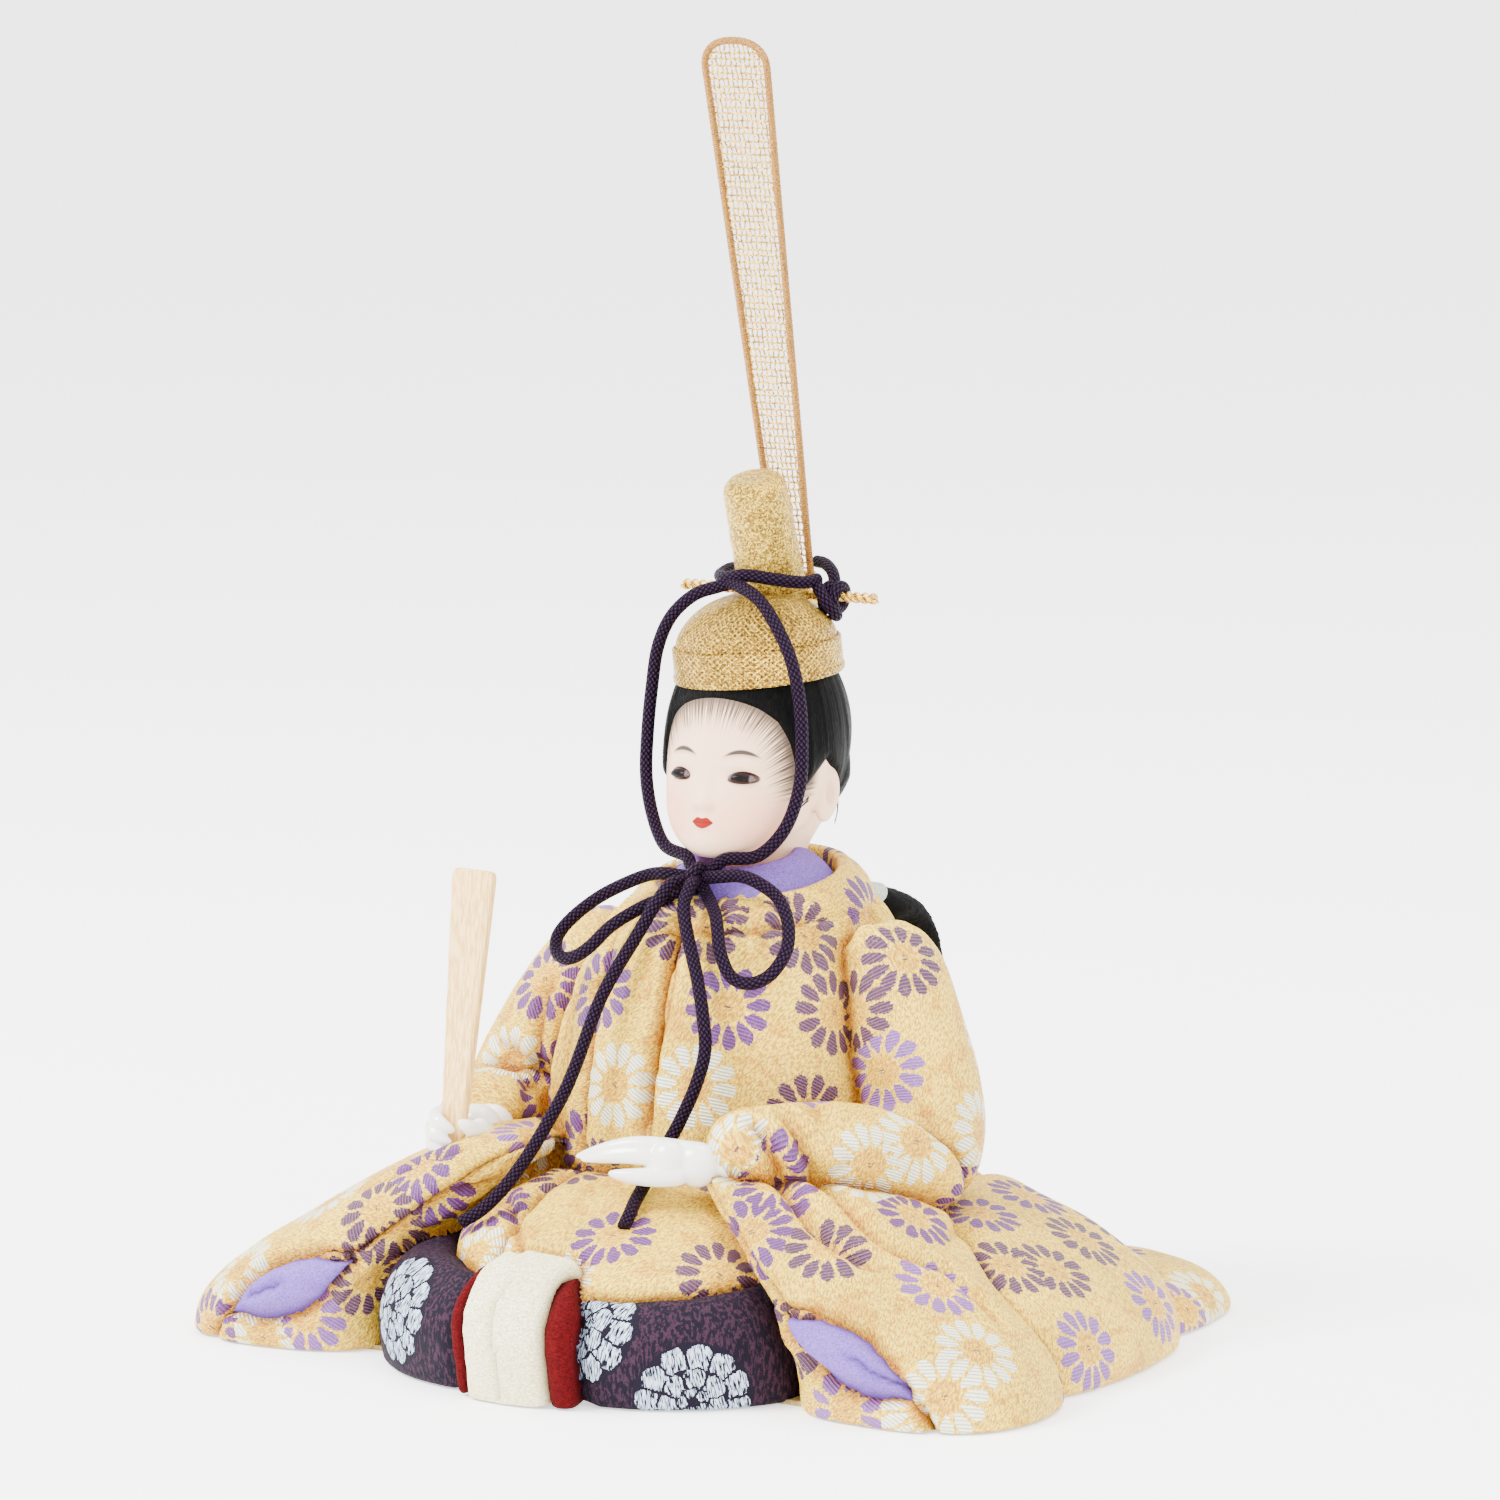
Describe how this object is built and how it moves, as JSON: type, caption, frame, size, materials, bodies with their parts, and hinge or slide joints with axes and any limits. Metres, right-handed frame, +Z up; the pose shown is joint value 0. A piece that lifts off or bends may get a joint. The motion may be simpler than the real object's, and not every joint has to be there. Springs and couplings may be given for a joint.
{
  "type": "hina doll",
  "caption": "Seated court doll in grooved brocade, with a lift-off head on a peg, netted gold crown, tied chin cord, two hands and a removable wooden sceptre.",
  "frame": {"origin": "middle of the footprint on the underside of the base", "axes": "+Z up, the doll faces -Y, and its left hand is at +X"},
  "size_m": [0.1944, 0.1741, 0.266],
  "materials": {
    "brocade": "pale gold brocade with woven chrysanthemums",
    "lavender_crepe": "matt crepe",
    "hakama_brocade": "dark brocade with gold medallions",
    "red_twill": "matt twill",
    "cream_crepe": "matt crepe",
    "black_crepe": "crinkled crepe",
    "silver_brocade": "silver thread",
    "composite": "unpainted wood-dust composition",
    "paper": "stiff paper",
    "porcelain_face": "satin ivory skin",
    "white_gloss": "glossy white",
    "glass_eye": "dark brown glass",
    "silk_hair": "combed silk floss",
    "gold_leaf": "gilded moulded paper",
    "gold_wire": "wrapped and twisted gilt wire",
    "gold_net": "stiff gilt gauze",
    "aubergine_braid": "round silk braid",
    "pale_wood": "sanded, unpainted"
  },
  "bodies": {
    "robe": {"chest_left": "brocade", "chest_right_inner": "brocade", "chest_right_middle": "brocade", "chest_right_outer": "brocade", "back_panel": "brocade", "upper_arm_left": "brocade", "upper_arm_right": "brocade", "forearm_left": "brocade", "forearm_right": "brocade", "sleeve_front_left": "brocade", "sleeve_front_right": "brocade", "sleeve_outer_left": "brocade", "sleeve_outer_right": "brocade", "lap_left": "brocade", "lap_right": "brocade", "skirt_left": "brocade", "skirt_right": "brocade", "skirt_back": "brocade", "train": "brocade", "outer_collar": "brocade", "body_core": "composite", "base_cover": "paper", "sleeve_lining_left": "lavender_crepe", "sleeve_lining_right": "lavender_crepe", "inner_collar": "lavender_crepe", "white_band": "cream_crepe", "red_band_right": "red_twill", "red_band_left": "red_twill", "hakama_right": "hakama_brocade", "hakama_left": "hakama_brocade", "back_band": "black_crepe", "belt_plate": "silver_brocade", "hand_left": "white_gloss", "hand_right": "white_gloss"},
    "head": {"head": "porcelain_face", "eye_right": "glass_eye", "eye_left": "glass_eye", "neck_peg": "pale_wood", "hair": "silk_hair", "crown_cap": "gold_leaf", "crown_band": "gold_leaf", "koji": "gold_leaf", "crown_pin": "gold_wire", "ei_socket": "pale_wood", "pin_knot": "aubergine_braid", "bow_knot": "aubergine_braid", "chin_cord_right": "aubergine_braid", "chin_cord_left": "aubergine_braid", "crown_cord": "aubergine_braid", "bow_loop_right": "aubergine_braid", "bow_loop_left": "aubergine_braid", "cord_tail_right": "aubergine_braid", "cord_tail_left": "aubergine_braid"},
    "crown_tail": {"ei_frame": "gold_wire", "ei_net": "gold_net"},
    "sceptre": {"shaku": "pale_wood"}
  },
  "joints": [
    {"name": "head_lift", "type": "slide", "parent": "robe", "child": "head", "axis": [0, 0, 1], "range_m": [0, 0.02], "deforming": ["cord_tail_left"]},
    {"name": "crown_tail_lift", "type": "slide", "parent": "head", "child": "crown_tail", "axis": [0, -0.2147, 0.9767], "range_m": [0, 0.008]},
    {"name": "sceptre_lift", "type": "slide", "parent": "robe", "child": "sceptre", "axis": [0.0293, 0.1109, 0.9934], "range_m": [0, 0.03]}
  ]
}
